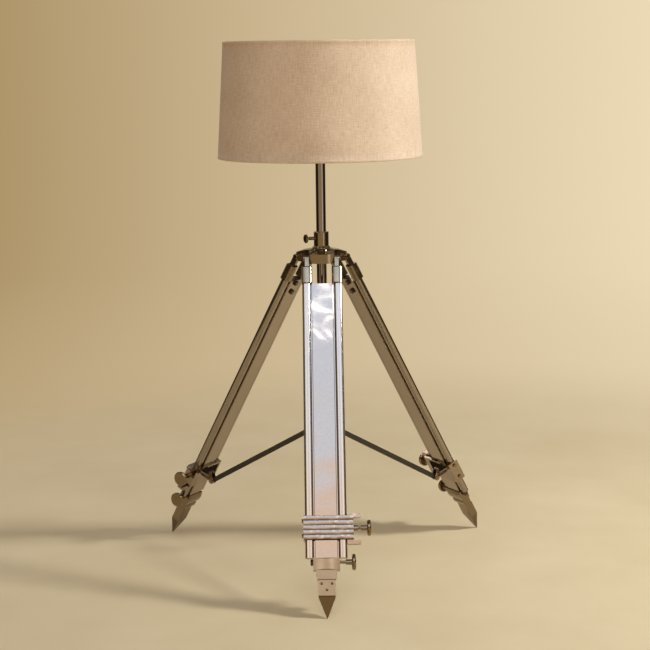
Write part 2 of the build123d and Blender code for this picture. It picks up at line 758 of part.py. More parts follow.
# Legs, each built on planes that follow its hinge: sections across the leg (x across, y out of
# the front face), profiles seen from the side (x out of the front face, y down the leg) and
# outlines seen from the front (x across, y down the leg)
for number, azimuth in enumerate(leg_azimuths, start=1):
    outward = Vector(cos(radians(azimuth)), sin(radians(azimuth)), 0)
    across = Vector(0, 0, 1).cross(outward)
    hinge = outward * hinge_radius + Vector(0, 0, hinge_height)
    down = outward * sin(leg_splay) - Vector(0, 0, cos(leg_splay))
    section = Plane(origin=hinge, x_dir=across, z_dir=down)
    front = section.y_dir
    side = Plane(origin=hinge, x_dir=front, z_dir=across)
    face = Plane(origin=hinge, x_dir=across, z_dir=-front)

    # Rails: rounded tubes with a crowned face and a groove down the inner side, closed at the foot
    hollow_inner = rail_inner + groove_depth + rail_wall
    hollow_width = rail_outer - rail_wall - hollow_inner
    for hand, name in ((-1, "left"), (1, "right")):
        with BuildPart() as rail:
            with BuildSketch(section.offset(rail_top)):
                with Locations((hand * rail_centre, 0)):
                    RectangleRounded(rail_width, rail_thickness, rail_corner)
                with Locations((hand * rail_centre, rail_face - rail_crown_radius)):
                    Circle(rail_crown_radius, mode=Mode.INTERSECT)
                with Locations((hand * (rail_inner + groove_depth / 2), 0)):
                    Rectangle(groove_depth, groove_width, mode=Mode.SUBTRACT)
            extrude(amount=rail_end - rail_top)
            with BuildSketch(section.offset(rail_top)):
                with Locations((hand * (hollow_inner + hollow_width / 2), 0)):
                    RectangleRounded(
                        hollow_width, rail_thickness - 2 * rail_wall, rail_corner - rail_wall
                    )
            extrude(amount=rail_end - rail_top - rail_wall, mode=Mode.SUBTRACT)
        rail.part.label = f"leg_{number}_{name}_rail"
        export_step(rail.part, f"parts/leg_{number}_{name}_rail.step")

    # Rail caps: a ferrule over the head of the rail, with a tang that turns on the hinge bolt
    cap_width = rail_width + 2 * socket_clearance + cap_outer_wall + cap_inner_wall
    cap_depth = rail_thickness + 2 * socket_clearance + cap_front_wall + cap_back_wall
    cap_centre = rail_centre + (cap_outer_wall - cap_inner_wall) / 2
    cap_middle = (cap_front_wall - cap_back_wall) / 2
    cap_front = cap_middle + cap_depth / 2
    for hand, name in ((-1, "left"), (1, "right")):
        with BuildPart() as cap:
            with BuildSketch(section.offset(cap_top)):
                with Locations((hand * cap_centre, cap_middle)):
                    RectangleRounded(cap_width, cap_depth, cap_corner)
                with Locations((hand * cap_centre, cap_front - cap_crown_radius)):
                    Circle(cap_crown_radius, mode=Mode.INTERSECT)
            extrude(amount=cap_length)
            with BuildSketch(side.offset(hand * cap_centre)):
                with BuildLine():
                    Polyline(
                        (cap_front, cap_top),
                        (cap_front, cap_top + cap_bevel),
                        (cap_front - cap_bevel, cap_top),
                        close=True,
                    )
                make_face()
            extrude(amount=cap_width, both=True, mode=Mode.SUBTRACT)
            with BuildSketch(section.offset(rail_top)):
                with Locations((hand * rail_centre, 0)):
                    RectangleRounded(
                        rail_width + 2 * socket_clearance,
                        rail_thickness + 2 * socket_clearance,
                        rail_corner + socket_clearance,
                    )
            extrude(amount=cap_length, mode=Mode.SUBTRACT)
            with BuildSketch(side.offset(hand * tang_inner)):
                with Locations((0, cap_top / 2)):
                    Rectangle(tang_width, cap_top)
                Circle(tang_width / 2)
                Circle(bolt_radius + running_clearance, mode=Mode.SUBTRACT)
            extrude(amount=hand * tang_thickness)
        cap.part.label = f"leg_{number}_{name}_cap"
        export_step(cap.part, f"parts/leg_{number}_{name}_cap.step")

    # Clamp: a ring round both rails with a ribbed front band, a cheek with two ears and a boss
    # for the clamp screw, and a wishbone bracket with a ringed barrel, whose fork carries the strut
    band_face = rail_face + clamp_band
    rib_face = band_face + rib_groove
    clamp_width = 2 * rail_outer + clamp_side + clamp_cheek
    cheek_end = rail_outer + clamp_cheek
    rib_pitch = clamp_height / rib_count
    bracket_root = hinge - front * clamp_back_face + down * bracket_station
    bracket_out = pin_offset - clamp_back_face
    bracket_down = pin_station - bracket_station
    bracket_run = down * bracket_down - front * bracket_out
    bracket = Plane(origin=bracket_root, x_dir=across, z_dir=across.cross(bracket_run))
    fork_angle = degrees(atan2(-bracket_down, bracket_out))
    fork_middle = (
        -pin_offset + fork_length / 2 * cos(radians(fork_angle)),
        pin_station + fork_length / 2 * sin(radians(fork_angle)),
    )
    with BuildPart() as clamp:
        with BuildSketch(section.offset(clamp_top)):
            with Locations(((clamp_cheek - clamp_side) / 2, (clamp_band - clamp_back) / 2)):
                Rectangle(clamp_width, rail_thickness + clamp_band + clamp_back)
            Rectangle(2 * rail_outer, rail_thickness, mode=Mode.SUBTRACT)
            with Locations((0, -slide_back_depth / 2)):
                Rectangle(
                    slide_width + 2 * sliding_clearance,
                    slide_back_depth + 2 * sliding_clearance,
                    mode=Mode.SUBTRACT,
                )
        extrude(amount=clamp_height)
        with BuildSketch(side.offset(-rail_outer - clamp_side)):
            with BuildLine():
                for rib in range(rib_count):
                    rib_start = clamp_top + rib * rib_pitch
                    rib_end = rib_start + rib_pitch
                    Line((band_face, rib_start), (rib_face, rib_start + rib_gap / 2))
                    ThreePointArc(
                        (rib_face, rib_start + rib_gap / 2),
                        (rib_face + rib_height, rib_start + rib_pitch / 2),
                        (rib_face, rib_end - rib_gap / 2),
                    )
                    Line((rib_face, rib_end - rib_gap / 2), (band_face, rib_end))
                Polyline(
                    (band_face, clamp_bottom),
                    (rail_face, clamp_bottom),
                    (rail_face, clamp_top),
                    (band_face, clamp_top),
                )
            make_face()
        extrude(amount=clamp_width)
        with BuildSketch(face.offset(-ear_depth / 2)):
            with Locations((rail_outer + clamp_cheek / 2, clamp_middle + (ear_drop - ear_rise) / 2)):
                Rectangle(clamp_cheek, clamp_height + ear_rise + ear_drop)
            with Locations(
                (rail_outer + (clamp_cheek + ear_length) / 2, clamp_top - ear_rise + ear_thickness / 2),
                (rail_outer + (clamp_cheek + ear_length) / 2, clamp_bottom + ear_drop - ear_thickness / 2),
            ):
                RectangleRounded(clamp_cheek + ear_length, ear_thickness, ear_round)
        extrude(amount=ear_depth)
        with BuildSketch(side.offset(cheek_end)):
            with Locations((0, clamp_middle)):
                Circle(clamp_boss_diameter / 2)
        extrude(amount=clamp_boss_length)
        with BuildSketch(side.offset(rail_outer)):
            with Locations((0, clamp_middle)):
                Circle(clamp_screw_diameter / 2 + running_clearance)
        extrude(amount=clamp_cheek + clamp_boss_length, mode=Mode.SUBTRACT)
        with BuildSketch(bracket):
            with BuildLine():
                Polyline(
                    (-bracket_base / 2, -bracket_embed),
                    (bracket_base / 2, -bracket_embed),
                    (bracket_tip / 2, bracket_run.length - fork_clear),
                    (-bracket_tip / 2, bracket_run.length - fork_clear),
                    close=True,
                )
            make_face()
        extrude(amount=bracket_thickness / 2, both=True)
        with BuildSketch(face.offset(clamp_back_face - bracket_embed)):
            with Locations((0, pin_station)):
                Circle(barrel_diameter / 2)
        extrude(amount=bracket_embed + bracket_out - barrel_clear)
        for ring in range(barrel_ring_count):
            with BuildSketch(face.offset(clamp_back_face + ring * barrel_ring_pitch)):
                with Locations((0, pin_station)):
                    Circle(barrel_ring_diameter / 2)
            extrude(amount=barrel_ring)
        for hand in (-1, 1):
            with BuildSketch(side.offset(hand * fork_inner)):
                with Locations(fork_middle):
                    SlotCenterToCenter(fork_length, 2 * fork_radius, rotation=fork_angle)
                with Locations((-pin_offset, pin_station)):
                    Circle(pin_diameter / 2 + running_clearance, mode=Mode.SUBTRACT)
            extrude(amount=hand * fork_thickness)
    clamp.part.label = f"leg_{number}_clamp"
    export_step(clamp.part, f"parts/leg_{number}_clamp.step")

    # Leg fasteners: the strut pin with its two heads and the clamp's two side bolts
    with BuildPart() as leg_fasteners:
        with BuildSketch(side.offset(-fork_outer)):
            with Locations((-pin_offset, pin_station)):
                Circle(pin_diameter / 2)
        extrude(amount=2 * fork_outer)
        for hand in (-1, 1):
            with BuildSketch(side.offset(hand * fork_outer)):
                with Locations((-pin_offset, pin_station)):
                    Circle(pin_head_diameter / 2)
            extrude(amount=hand * pin_head_height)
        with BuildSketch(side.offset(-rail_outer - clamp_side)):
            with Locations((0, clamp_top + clamp_bolt_inset), (0, clamp_bottom - clamp_bolt_inset)):
                RegularPolygon(clamp_bolt_radius, hexagon_sides)
        extrude(amount=-clamp_bolt_head)
    leg_fasteners.part.label = f"leg_{number}_fasteners"
    export_step(leg_fasteners.part, f"parts/leg_{number}_fasteners.step")

    # Clamp screw: a turned shank that bears on the rail, a neck, a boss and a disc
    screw_start = rail_outer + sliding_clearance
    neck_start = cheek_end + clamp_boss_length
    boss_start = neck_start + clamp_screw_neck
    knob_start = boss_start + clamp_screw_boss
    knob_end = knob_start + knob_thickness
    knob_edge = knob_diameter / 2 - knob_rim
    with BuildPart() as clamp_screw:
        clamp_screw_origin = hinge + down * clamp_middle
        with BuildSketch(Plane(origin=clamp_screw_origin, x_dir=across, z_dir=down)):
            with BuildLine():
                Polyline(
                    (screw_start, 0),
                    (screw_start, clamp_screw_diameter / 2),
                    (neck_start, clamp_screw_diameter / 2),
                    (neck_start, clamp_screw_neck_diameter / 2),
                    (boss_start, clamp_screw_neck_diameter / 2),
                    (boss_start, clamp_screw_boss_diameter / 2),
                    (knob_start, clamp_screw_boss_diameter / 2),
                    (knob_start, knob_edge),
                    (knob_start + knob_rim, knob_diameter / 2),
                    (knob_end - knob_rim, knob_diameter / 2),
                    (knob_end, knob_edge),
                    (knob_end, 0),
                    close=True,
                )
            make_face()
        revolve(axis=Axis(clamp_screw_origin, across))
    clamp_screw.part.label = f"leg_{number}_clamp_screw"
    export_step(clamp_screw.part, f"parts/leg_{number}_clamp_screw.step")

    # Slide: a flat box bar with a tongue down each edge that runs in the rail grooves
    tongue_span = 2 * (rail_inner + groove_depth - tongue_relief)
    with BuildPart() as slide:
        with BuildSketch(section.offset(slide_top)):
            with Locations((0, slide_middle)):
                RectangleRounded(slide_width, slide_thickness, slide_corner)
        extrude(amount=slide_bottom - slide_top)
        with BuildSketch(section.offset(slide_top)):
            Rectangle(tongue_span, groove_width - 2 * sliding_clearance)
        extrude(amount=rail_end - slide_top)
        with BuildSketch(section.offset(slide_top + slide_end_wall)):
            with Locations((0, slide_middle)):
                Rectangle(slide_width - 2 * slide_wall, slide_thickness - 2 * slide_wall)
        extrude(amount=slide_bottom - slide_top - slide_end_wall, mode=Mode.SUBTRACT)
    slide.part.label = f"leg_{number}_slide"
    export_step(slide.part, f"parts/leg_{number}_slide.step")

    # Shoe: a crowned collar on the foot of the slide, a tapered neck and a bevelled block with a
    # socket for the spike, swelling on the inner side
    collar_front = slide_front_depth + socket_clearance + shoe_collar_wall
    collar_back = slide_back_depth + socket_clearance + shoe_back_wall
    collar_half_width = slide_width / 2 + socket_clearance + shoe_collar_wall
    block_depth = shoe_block_front + shoe_block_back
    block_middle = (shoe_block_front - shoe_block_back) / 2
    tang_socket_width = shoe_block_width - 2 * shoe_block_wall
    tang_socket_depth = block_depth - 2 * shoe_block_wall
    shoe_screw_station = (shoe_top + slide_bottom) / 2
    spike_screw_places = (
        (-spike_screw_spread / 2, shoe_block_top + spike_screw_top_inset),
        (spike_screw_spread / 2, shoe_block_top + spike_screw_top_inset),
        (0, shoe_block_top + spike_screw_low_inset),
    )
    with BuildPart() as shoe:
        with BuildSketch(side):
            with BuildLine():
                Polyline(
                    (-shoe_taper_half_depth, shoe_taper_top),
                    (shoe_taper_half_depth, shoe_taper_top),
                    (shoe_taper_half_depth, shoe_block_top),
                    (-shoe_taper_half_depth, shoe_block_top),
                )
                ThreePointArc(
                    (-shoe_taper_half_depth, shoe_block_top),
                    (-shoe_taper_half_depth - shoe_taper_swell, (shoe_taper_top + shoe_block_top) / 2),
                    (-shoe_taper_half_depth, shoe_taper_top),
                )
            make_face()
        extrude(amount=shoe_taper_top_width / 2, both=True)
        with BuildSketch(face):
            with BuildLine():
                Polyline(
                    (-shoe_taper_top_width / 2, shoe_taper_top),
                    (shoe_taper_top_width / 2, shoe_taper_top),
                    (shoe_taper_bottom_width / 2, shoe_block_top),
                    (-shoe_taper_bottom_width / 2, shoe_block_top),
                    close=True,
                )
            make_face()
        extrude(amount=shoe_taper_top_width, both=True, mode=Mode.INTERSECT)
        with BuildSketch(side):
            with BuildLine():
                Polyline(
                    (-collar_back, shoe_top),
                    (collar_front - shoe_bevel, shoe_top),
                    (collar_front, shoe_top + shoe_bevel),
                    (collar_front, shoe_taper_top - shoe_bevel),
                    (collar_front - shoe_bevel, shoe_taper_top),
                    (-collar_back, shoe_taper_top),
                )
                ThreePointArc(
                    (-collar_back, shoe_taper_top),
                    (-collar_back - shoe_collar_swell, (shoe_top + shoe_taper_top) / 2),
                    (-collar_back, shoe_top),
                )
            make_face()
        extrude(amount=collar_half_width, both=True)
        with BuildSketch(section.offset(shoe_top)):
            with Locations((0, collar_front - shoe_collar_wall / 2)):
                Rectangle(2 * collar_half_width, shoe_collar_wall)
            with Locations((0, collar_front - shoe_collar_crown_radius)):
                Circle(shoe_collar_crown_radius, mode=Mode.SUBTRACT)
        extrude(amount=shoe_collar_height, mode=Mode.SUBTRACT)
        with BuildSketch(side):
            with BuildLine():
                Polyline(
                    (-shoe_block_back, shoe_block_top),
                    (shoe_block_front - shoe_bevel, shoe_block_top),
                    (shoe_block_front, shoe_block_top + shoe_bevel),
                    (shoe_block_front, shoe_block_end - shoe_bevel),
                    (shoe_block_front - shoe_bevel, shoe_block_end),
                    (-shoe_block_back, shoe_block_end),
                    close=True,
                )
            make_face()
        extrude(amount=shoe_block_width / 2, both=True)
        with BuildSketch(section.offset(shoe_top)):
            with Locations((0, slide_middle)):
                Rectangle(slide_width + 2 * socket_clearance, slide_thickness + 2 * socket_clearance)
        extrude(amount=shoe_collar_depth, mode=Mode.SUBTRACT)
        with BuildSketch(section.offset(shoe_block_end)):
            with Locations((0, block_middle)):
                Rectangle(tang_socket_width, tang_socket_depth)
        extrude(amount=-spike_tang_length, mode=Mode.SUBTRACT)
        with BuildSketch(side.offset(slide_width / 2)):
            with Locations((0, shoe_screw_station)):
                Circle(shoe_screw_diameter / 2 + running_clearance)
        extrude(amount=collar_half_width, mode=Mode.SUBTRACT)
        with BuildSketch(face.offset(-shoe_block_front)):
            with Locations(*spike_screw_places):
                Circle(spike_screw_diameter / 2 + socket_clearance)
        extrude(amount=shoe_block_wall, mode=Mode.SUBTRACT)
    shoe.part.label = f"leg_{number}_shoe"
    export_step(shoe.part, f"parts/leg_{number}_shoe.step")

    # Spike: a four-sided point with a tang in the shoe's socket
    tip_station = leg_reach - spike_tip / 2 * tan(leg_splay)
    with BuildPart() as spike:
        with BuildSketch(side):
            with BuildLine():
                Polyline(
                    (-shoe_block_back, shoe_block_end),
                    (shoe_block_front, shoe_block_end),
                    (spike_tip / 2, tip_station),
                    (-spike_tip / 2, tip_station),
                    close=True,
                )
            make_face()
        extrude(amount=shoe_block_width / 2, both=True)
        with BuildSketch(face):
            with BuildLine():
                Polyline(
                    (-shoe_block_width / 2, shoe_block_end),
                    (shoe_block_width / 2, shoe_block_end),
                    (spike_tip / 2, tip_station),
                    (-spike_tip / 2, tip_station),
                    close=True,
                )
            make_face()
        extrude(amount=block_depth, both=True, mode=Mode.INTERSECT)
        with BuildSketch(section.offset(shoe_block_end)):
            with Locations((0, block_middle)):
                Rectangle(
                    tang_socket_width - 2 * socket_clearance, tang_socket_depth - 2 * socket_clearance
                )
        extrude(amount=-spike_tang_length)
        with BuildSketch(face.offset(-shoe_block_front)):
            with Locations(*spike_screw_places):
                Circle(spike_screw_diameter / 2 + socket_clearance)
        extrude(amount=spike_screw_reach, mode=Mode.SUBTRACT)
    spike.part.label = f"leg_{number}_spike"
    export_step(spike.part, f"parts/leg_{number}_spike.step")

    # Slide fasteners: two stop bolts near the head of the slide, three spike screws and the nut
    # on the side of the shoe
    with BuildPart() as slide_fasteners:
        with BuildSketch(face.offset(slide_back_depth)):
            with Locations(
                (0, slide_top + stop_bolt_inset), (0, slide_top + stop_bolt_inset + stop_bolt_pitch)
            ):
                RegularPolygon(stop_bolt_radius, hexagon_sides)
        extrude(amount=stop_bolt_head)
        with BuildSketch(face.offset(-shoe_block_front)):
            with Locations(*spike_screw_places):
                Circle(spike_screw_head_diameter / 2)
        extrude(amount=-spike_screw_head)
        head_rims = slide_fasteners.edges().filter_by(GeomType.CIRCLE).group_by(Axis(hinge, front))[-1]
        chamfer(head_rims, spike_screw_bevel)
        with BuildSketch(face.offset(-shoe_block_front)):
            with Locations(*spike_screw_places):
                Circle(spike_screw_diameter / 2)
        extrude(amount=spike_screw_reach)
        with BuildSketch(side.offset(-collar_half_width)):
            with Locations((0, shoe_screw_station)):
                RegularPolygon(shoe_nut_radius, hexagon_sides)
        extrude(amount=-shoe_nut_height)
    slide_fasteners.part.label = f"leg_{number}_slide_fasteners"
    export_step(slide_fasteners.part, f"parts/leg_{number}_slide_fasteners.step")

    # Shoe screw: a turned shank through the collar, a boss and a disc
    shank_start = slide_width / 2 + sliding_clearance
    shoe_boss_start = collar_half_width + shoe_screw_bare
    shoe_knob_start = shoe_boss_start + shoe_screw_boss
    shoe_knob_end = shoe_knob_start + knob_thickness
    with BuildPart() as shoe_screw:
        shoe_screw_origin = hinge + down * shoe_screw_station
        with BuildSketch(Plane(origin=shoe_screw_origin, x_dir=across, z_dir=down)):
            with BuildLine():
                Polyline(
                    (shank_start, 0),
                    (shank_start, shoe_screw_diameter / 2),
                    (shoe_boss_start, shoe_screw_diameter / 2),
                    (shoe_boss_start, shoe_screw_boss_diameter / 2),
                    (shoe_knob_start, shoe_screw_boss_diameter / 2),
                    (shoe_knob_start, knob_edge),
                    (shoe_knob_start + knob_rim, knob_diameter / 2),
                    (shoe_knob_end - knob_rim, knob_diameter / 2),
                    (shoe_knob_end, knob_edge),
                    (shoe_knob_end, 0),
                    close=True,
                )
            make_face()
        revolve(axis=Axis(shoe_screw_origin, across))
    shoe_screw.part.label = f"leg_{number}_shoe_screw"
    export_step(shoe_screw.part, f"parts/leg_{number}_shoe_screw.step")

    # Strut: a flat bar from the fork to the hub, drilled for the pin and riveted at the hub
    upright = Plane(origin=(0, 0, 0), x_dir=outward, z_dir=-across)
    pin_radius_out = hinge_radius + pin_station * sin(leg_splay) - pin_offset * cos(leg_splay)
    pin_height = hinge_height - pin_station * cos(leg_splay) - pin_offset * sin(leg_splay)
    strut_run = pin_radius_out - hub_pivot_radius
    strut_climb = hub_pivot_height - pin_height
    strut_angle = degrees(atan2(-strut_climb, strut_run))
    with BuildPart() as strut:
        with BuildSketch(upright.offset(-strut_thickness / 2)):
            with Locations(
                ((pin_radius_out + hub_pivot_radius) / 2, (pin_height + hub_pivot_height) / 2)
            ):
                SlotCenterToCenter(hypot(strut_run, strut_climb), strut_width, rotation=strut_angle)
            with Locations((pin_radius_out, pin_height)):
                Circle(pin_diameter / 2 + running_clearance, mode=Mode.SUBTRACT)
        extrude(amount=strut_thickness)
        with BuildSketch(upright.offset(strut_thickness / 2)):
            with Locations((hub_pivot_radius, hub_pivot_height)):
                Circle(rivet_diameter / 2)
        extrude(amount=rivet_height)
    strut.part.label = f"leg_{number}_strut"
    export_step(strut.part, f"parts/leg_{number}_strut.step")
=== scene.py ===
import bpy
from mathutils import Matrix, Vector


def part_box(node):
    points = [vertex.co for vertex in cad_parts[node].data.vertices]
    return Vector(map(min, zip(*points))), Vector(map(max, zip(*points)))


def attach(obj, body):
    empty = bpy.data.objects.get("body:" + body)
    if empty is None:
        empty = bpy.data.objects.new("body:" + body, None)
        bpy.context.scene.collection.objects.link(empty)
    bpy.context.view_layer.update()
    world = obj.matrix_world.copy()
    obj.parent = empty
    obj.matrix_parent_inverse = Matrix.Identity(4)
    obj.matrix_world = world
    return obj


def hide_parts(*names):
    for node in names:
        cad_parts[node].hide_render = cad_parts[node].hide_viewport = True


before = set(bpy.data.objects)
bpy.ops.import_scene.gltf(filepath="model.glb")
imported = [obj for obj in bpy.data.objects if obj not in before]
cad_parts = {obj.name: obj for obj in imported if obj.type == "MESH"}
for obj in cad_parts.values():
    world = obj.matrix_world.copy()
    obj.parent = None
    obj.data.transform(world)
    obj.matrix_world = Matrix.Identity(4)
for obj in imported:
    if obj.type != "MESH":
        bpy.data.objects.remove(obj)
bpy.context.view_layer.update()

import bpy
import numpy as np
from mathutils import Matrix


# Leg rails. Each leg has two rounded tubes side by side, drawn from aluminium alloy, buffed and
# nickel plated. The buffing leaves faint long waves, so the room bends a little in their shine.
def linear(code):
    """Turns an sRGB hex colour into the linear values that a shader reads: dark values are divided
    by 12.92, and the others are shifted, scaled and raised to the power of 2.4."""
    value = np.array([int(code[i:i + 2], 16) for i in (1, 3, 5)]) / 255
    value = np.where(value <= 0.04045, value / 12.92, ((value + 0.055) / 1.055) ** 2.4)
    return (*value.tolist(), 1.0)


def new_material(name):
    """Makes a material and returns it with its node tree and its shader."""
    material = bpy.data.materials.new(name)
    material.use_nodes = True
    return material, material.node_tree, material.node_tree.nodes["Principled BSDF"]


def add_node(tree, kind, values=None, links=None, **settings):
    """Adds one node: its settings, the values on its inputs, and the outputs that feed it."""
    node = tree.nodes.new(kind)
    for key, value in settings.items():
        setattr(node, key, value)
    for key, value in (values or {}).items():
        node.inputs[key].default_value = value
    for key, socket in (links or {}).items():
        tree.links.new(socket, node.inputs[key])
    return node


def plated_metal(name, colour, smooth, rough, wave_mm, depth_mm, mark_mm):
    """A plated metal: long waves of one size bend its reflections, and fine buffing marks of
    another size carry its roughness between the two given values and tone its colour."""
    dull_share = 0.86
    material, tree, shader = new_material(name)
    shader.inputs["Metallic"].default_value = 1.0
    place = add_node(tree, "ShaderNodeTexCoord").outputs["Object"]
    marks = add_node(tree, "ShaderNodeTexNoise", {"Scale": 1000 / mark_mm, "Detail": 4.0},
                     {"Vector": place})
    tone = add_node(tree, "ShaderNodeMapRange", {"To Min": smooth, "To Max": rough},
                    {"Value": marks.outputs["Fac"]})
    tree.links.new(tone.outputs["Result"], shader.inputs["Roughness"])
    dull = [dull_share * value for value in linear(colour)[:3]] + [1.0]
    tint = add_node(tree, "ShaderNodeMix", {"A": dull, "B": linear(colour)},
                    {"Factor": marks.outputs["Fac"]}, data_type="RGBA")
    tree.links.new(tint.outputs[2], shader.inputs["Base Color"])
    waves = add_node(tree, "ShaderNodeTexNoise", {"Scale": 1000 / wave_mm, "Detail": 0.0},
                     {"Vector": place})
    bump = add_node(tree, "ShaderNodeBump", {"Strength": 1.0, "Distance": depth_mm / 1000},
                    {"Height": waves.outputs["Fac"]})
    tree.links.new(bump.outputs["Normal"], shader.inputs["Normal"])
    return material


def on_each_leg(*pieces):
    """Names of the given pieces on all three legs."""
    return [f"leg_{leg}_{piece}" for leg in (1, 2, 3) for piece in pieces]


def dress(names, material):
    """Gives each named piece one material."""
    for name in names:
        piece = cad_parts[name]
        piece.data.materials.clear()
        piece.data.materials.append(material)


drawn_nickel = plated_metal("drawn_nickel", "#A5998B", smooth=0.08, rough=0.17,
                            wave_mm=90, depth_mm=0.12, mark_mm=4)
dress(on_each_leg("left_rail", "right_rail"), drawn_nickel)

# Leg slides. A flat box bar between the rails, pressed from sheet, so its wide face is the least
# flat of all: it is plated to a mirror, and what it mirrors swims in soft pools.
rolled_nickel = plated_metal("rolled_nickel", "#A99B8D", smooth=0.03, rough=0.08,
                             wave_mm=58, depth_mm=0.80, mark_mm=6)
dress(on_each_leg("slide"), rolled_nickel)

# Rail caps, crown, column collar and shoes. Sand castings in aluminium, ground, buffed and nickel
# plated, a shade duller and warmer than the drawn tubes, with soft edges.
cast_nickel = plated_metal("cast_nickel", "#91816A", smooth=0.10, rough=0.22,
                           wave_mm=28, depth_mm=0.45, mark_mm=2.5)
dress(on_each_leg("left_cap", "right_cap", "shoe"), cast_nickel)
dress(["crown_casting", "column_collar"], cast_nickel)

# Clamps. Castings too, bolted round both rails, but their ribbed bands are polished by hand to a
# mirror, which leaves short uneven waves along the ribs.
mirror_nickel = plated_metal("mirror_nickel", "#A09080", smooth=0.04, rough=0.10,
                             wave_mm=15, depth_mm=0.7, mark_mm=3)
dress(on_each_leg("clamp"), mirror_nickel)

# Spikes. Four-sided points of ground steel under the same plating, dulled by the floor. Each sits
# in the socket of its shoe, where three small screws hold it.
ground_steel = plated_metal("ground_steel", "#7E6B55", smooth=0.18, rough=0.32,
                            wave_mm=30, depth_mm=0.05, mark_mm=1.5)
dress(on_each_leg("spike"), ground_steel)

# Thumbscrews, hinge and clamp bolts and the finial. Turned from brass bar and nickel plated to a
# bright finish, each screwed into its boss by hand.
turned_nickel = plated_metal("turned_nickel", "#907D63", smooth=0.08, rough=0.20,
                             wave_mm=20, depth_mm=0.04, mark_mm=2)
dress(on_each_leg("clamp_screw", "shoe_screw", "fasteners"), turned_nickel)
dress(["hinge_bolts", "column_thumbscrew", "finial"], turned_nickel)

# Small screws of the slides: those that hold the spikes, the nut and the stop bolts. Steel coloured
# dark brown as painted shade, so they show as dark dots on the bright shoe.
painted_shade_steel = plated_metal("painted_shade_steel", "#5C5143", smooth=0.25, rough=0.40,
                             wave_mm=20, depth_mm=0.04, mark_mm=2)
dress(on_each_leg("slide_fasteners"), painted_shade_steel)

# Spreader. Flat steel struts and a turned hub, plated in dark nickel and left satin. Each strut is
# riveted to a tongue of the hub and pinned in the fork of a clamp.
dark_nickel = plated_metal("dark_nickel", "#504D49", smooth=0.25, rough=0.40,
                           wave_mm=40, depth_mm=0.05, mark_mm=2)
dress(["spreader_hub"] + on_each_leg("strut"), dark_nickel)

# Column tube and its cap. Drawn steel tube in dark polished nickel, which shows as long stripes.
# It slides in the collar, where a thumbscrew holds it.
tube_nickel = plated_metal("tube_nickel", "#998F88", smooth=0.07, rough=0.15,
                           wave_mm=60, depth_mm=0.03, mark_mm=3)
dress(["column_tube", "tube_cap"], tube_nickel)

# Harp, saddle, spider and rings. Bent steel wire and strip, zinc plated to a soft grey shine. The
# harp stands in its saddle, and the finial holds the spider on the harp's stud.
zinc_wire = plated_metal("zinc_wire", "#B9B5AC", smooth=0.22, rough=0.38,
                         wave_mm=30, depth_mm=0.03, mark_mm=1.5)
dress(["harp", "harp_saddle", "shade_spider", "shade_bottom_ring"], zinc_wire)

# Lamp holder. Spun brass shells, pressed into one another above the tube, with a moulded phenolic
# insulator, switch key and cord bushing: near black, half glossy and faintly clouded.
spun_brass = plated_metal("spun_brass", "#C9A45C", smooth=0.20, rough=0.34,
                          wave_mm=25, depth_mm=0.03, mark_mm=2)
dress(["socket_cap", "socket_shell", "screw_shell"], spun_brass)
cloud_mm = 3
phenolic, tree, shader = new_material("moulded_phenolic")
shader.inputs["IOR"].default_value = 1.6
place = add_node(tree, "ShaderNodeTexCoord").outputs["Object"]
flow = add_node(tree, "ShaderNodeTexNoise", {"Scale": 1000 / cloud_mm, "Detail": 3.0},
                {"Vector": place})
tint = add_node(tree, "ShaderNodeMix", {"A": linear("#16130F"), "B": linear("#2A2520")},
                {"Factor": flow.outputs["Fac"]}, data_type="RGBA")
tree.links.new(tint.outputs[2], shader.inputs["Base Color"])
gloss = add_node(tree, "ShaderNodeMapRange", {"To Min": 0.3, "To Max": 0.5},
                 {"Value": flow.outputs["Fac"]})
tree.links.new(gloss.outputs["Result"], shader.inputs["Roughness"])
dress(["socket_insulator", "switch_key", "cord_bushing"], phenolic)


# Drum shade. Slubbed linen laminated to a white styrene lining, rolled over a ring at each hem
# and glued, with one lapped seam at the back.
def turned(radius, height, angle, closed=True):
    """Carries a profile round the upright axis: one row of radii for each angle, all at the same
    heights, with the last point joined to the first where the profile is closed. Returns the
    points, the four-cornered faces, for each face corner the run round the piece and along the
    profile in metres, and for each face its place on the profile."""
    turns, count = radius.shape
    points = np.stack([np.cos(angle)[:, None] * radius, np.sin(angle)[:, None] * radius,
                       np.broadcast_to(height, radius.shape)], -1).reshape(-1, 3)
    steps = count if closed else count - 1
    i, j = (index.ravel() for index in
            np.meshgrid(np.arange(turns), np.arange(steps), indexing="ij"))
    i1, j1 = (i + 1) % turns, (j + 1) % count
    faces = np.stack([i * count + j, i1 * count + j, i1 * count + j1, i * count + j1], -1)
    step = np.hypot(np.roll(radius[0], -1) - radius[0], np.roll(height, -1) - height)
    along = np.append(0, np.cumsum(step))
    around = radius.max() * (np.append(angle, angle[0] + 2 * np.pi) - angle[0])
    corners = np.stack([np.stack([around[i], around[i + 1], around[i + 1], around[i]], -1),
                        np.stack([along[j], along[j], along[j + 1], along[j + 1]], -1)], -1)
    return points, faces, corners, j


def smooth_mesh(name, points, faces):
    """Makes a smooth-shaded mesh of points and faces."""
    mesh = bpy.data.meshes.new(name)
    mesh.from_pydata(points, [], faces)
    mesh.polygons.foreach_set("use_smooth", np.ones(len(faces), bool))
    return mesh


def put(name, data):
    """Puts a mesh, lamp or camera into the scene as an object."""
    item = bpy.data.objects.new(name, data)
    bpy.context.scene.collection.objects.link(item)
    return item


low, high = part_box("lamp_shade")
bottom, top = low.z, high.z
foot_radius = high.x
taper = 0.018
head_radius = foot_radius - taper


def shade_radius(height):
    """Outer radius of the tapered drum at a height, in a straight line from foot to head."""
    return foot_radius + (head_radius - foot_radius) * (height - bottom) / (top - bottom)


